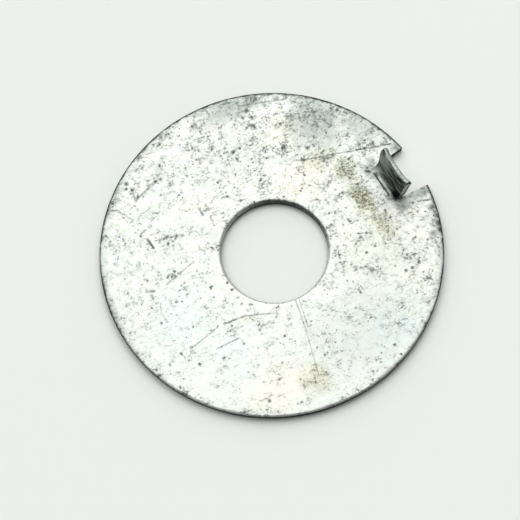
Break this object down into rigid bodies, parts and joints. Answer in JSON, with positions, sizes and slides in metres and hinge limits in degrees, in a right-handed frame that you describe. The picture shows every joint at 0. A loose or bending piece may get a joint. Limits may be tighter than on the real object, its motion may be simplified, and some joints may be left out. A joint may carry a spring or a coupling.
{
  "type": "lock plate",
  "caption": "Round sheet-steel lock plate with a central bore and a tab bent up out of its rim, clamped under a nut or bolt head to keep it from turning.",
  "frame": {"origin": "on the bore's axis, at the plate's bottom face", "axes": "+Z along the bore's axis, the way the tab stands up; +X from the bore towards the tab"},
  "size_m": [0.0338, 0.034, 0.0038],
  "materials": {
    "zinc_plate": "bright zinc plating, scuffed and finely pitted, with faint passivation tints"
  },
  "bodies": {
    "root": {"lock_plate": "zinc_plate"}
  },
  "joints": []
}
